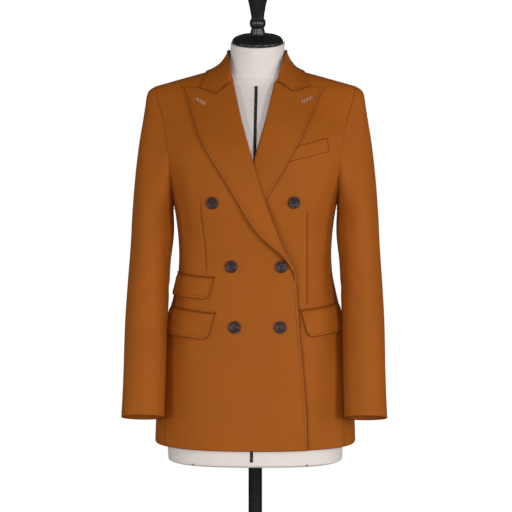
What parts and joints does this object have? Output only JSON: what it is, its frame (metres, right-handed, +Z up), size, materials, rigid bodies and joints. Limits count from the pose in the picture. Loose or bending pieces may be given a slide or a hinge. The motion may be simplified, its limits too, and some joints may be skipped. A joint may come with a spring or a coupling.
{
  "type": "double breasted blazer on a dress form",
  "caption": "Long fitted double breasted blazer with wide peak lapels, flap pockets and set-in sleeves, worn by a limbless padded dress form on a pole and round base.",
  "frame": {"origin": "on the floor, at the middle of the base's underside, on the pole's axis", "axes": "+Z up along the pole, -Y out of the front of the blazer, +X toward the wearer's left"},
  "size_m": [0.4966, 0.35, 1.6213],
  "materials": {
    "suiting": "rust brown wool suiting, fine twill with a soft sheen",
    "button": "dark brown horn-look, polished",
    "linen": "off-white linen, matt",
    "tape": "black woven tape",
    "lacquer": "turned wood, gloss black lacquer",
    "stand": "black, semi-gloss"
  },
  "bodies": {
    "root": {"front_right": "suiting", "front_left": "suiting", "side_right": "suiting", "side_left": "suiting", "back_right": "suiting", "back_left": "suiting", "lapel_right": "suiting", "lapel_left": "suiting", "collar": "suiting", "sleeve_top_right": "suiting", "sleeve_top_left": "suiting", "sleeve_under_right": "suiting", "sleeve_under_left": "suiting", "breast_welt": "suiting", "ticket_jet": "suiting", "ticket_flap": "suiting", "pocket_jet_right": "suiting", "pocket_jet_left": "suiting", "pocket_flap_right": "suiting", "pocket_flap_left": "suiting", "button_1_right": "button", "button_1_left": "button", "button_2_right": "button", "button_2_left": "button", "button_3_right": "button", "button_3_left": "button", "form_torso": "linen", "form_tape": "tape", "form_cap": "lacquer", "form_finial": "lacquer", "form_pole": "stand", "form_base": "stand"}
  },
  "joints": []
}
